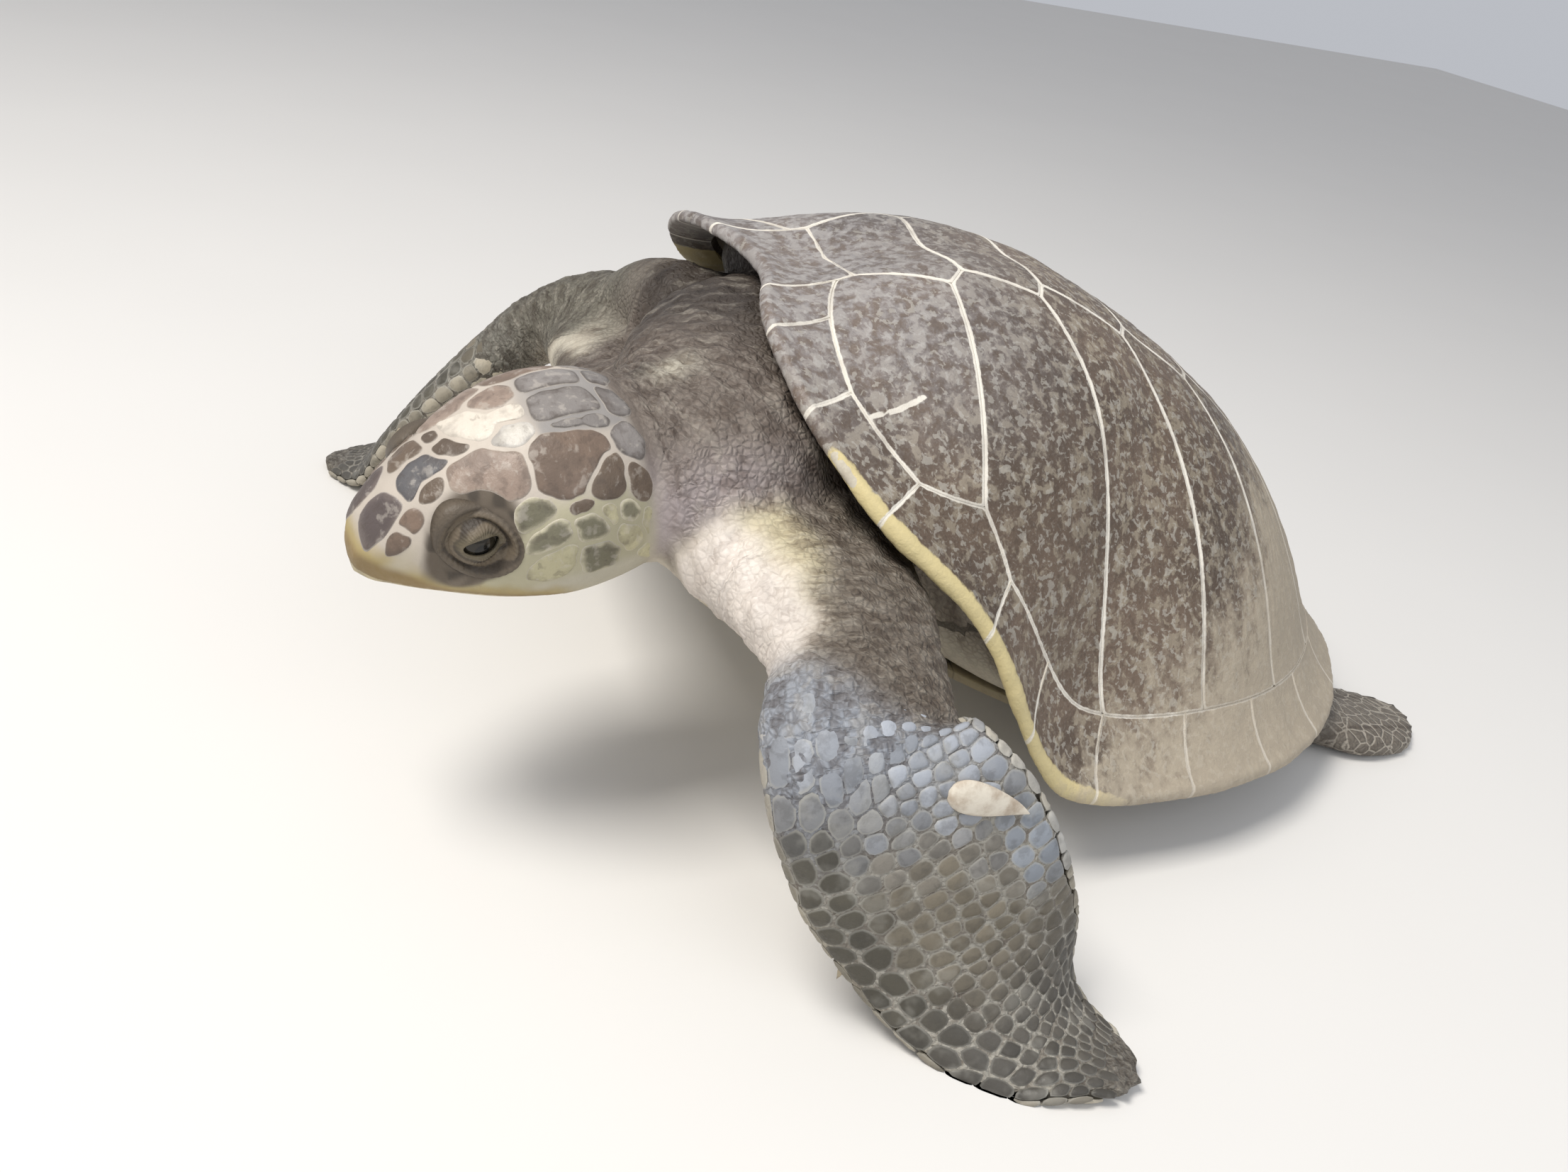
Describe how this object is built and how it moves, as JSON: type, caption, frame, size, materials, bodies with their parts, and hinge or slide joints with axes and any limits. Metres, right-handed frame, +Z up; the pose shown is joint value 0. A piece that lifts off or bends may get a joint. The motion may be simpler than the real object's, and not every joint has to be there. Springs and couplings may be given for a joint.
{
  "type": "sea turtle figure",
  "caption": "Life-size sea turtle at rest, front raised on its flippers, head turned to its left, broad domed shell of separate horn plates.",
  "frame": {"origin": "centre of the bottom face of the figure's box, on the floor under the shell", "axes": "+X to the animal's left, +Y to its tail, so it faces -Y, +Z up"},
  "size_m": [0.8654, 0.9598, 0.3676],
  "materials": {
    "scute": "grey-brown horn plates, mottled, with growth lines and a film of dry sand",
    "belly": "cream horn of the belly shell",
    "skin": "grey scaly skin with pale seams, wrinkled at the neck and shoulders",
    "horn": "yellowish horn of the lower jaw",
    "eye": "dark wet eye",
    "claw": "dull horn claw"
  },
  "bodies": {
    "root": {"claw_left": "claw", "claw_right": "claw", "costal_left_1": "scute", "costal_left_2": "scute", "costal_left_3": "scute", "costal_left_4": "scute", "costal_left_5": "scute", "costal_left_6": "scute", "costal_right_1": "scute", "costal_right_2": "scute", "costal_right_3": "scute", "costal_right_4": "scute", "costal_right_5": "scute", "costal_right_6": "scute", "eye_left": "eye", "eye_right": "eye", "front_flipper_left": "skin", "front_flipper_right": "skin", "head": "skin", "lower_jaw": "horn", "marginal_left_1": "scute", "marginal_left_10": "scute", "marginal_left_11": "scute", "marginal_left_12": "scute", "marginal_left_2": "scute", "marginal_left_3": "scute", "marginal_left_4": "scute", "marginal_left_5": "scute", "marginal_left_6": "scute", "marginal_left_7": "scute", "marginal_left_8": "scute", "marginal_left_9": "scute", "marginal_right_1": "scute", "marginal_right_10": "scute", "marginal_right_11": "scute", "marginal_right_12": "scute", "marginal_right_2": "scute", "marginal_right_3": "scute", "marginal_right_4": "scute", "marginal_right_5": "scute", "marginal_right_6": "scute", "marginal_right_7": "scute", "marginal_right_8": "scute", "marginal_right_9": "scute", "neck": "skin", "nuchal": "scute", "plastron": "belly", "rear_flipper_left": "skin", "rear_flipper_right": "skin", "tail": "skin", "trunk": "skin", "upper_arm_left": "skin", "upper_arm_right": "skin", "vertebral_1": "scute", "vertebral_2": "scute", "vertebral_3": "scute", "vertebral_4": "scute", "vertebral_5": "scute", "vertebral_6": "scute"}
  },
  "joints": []
}
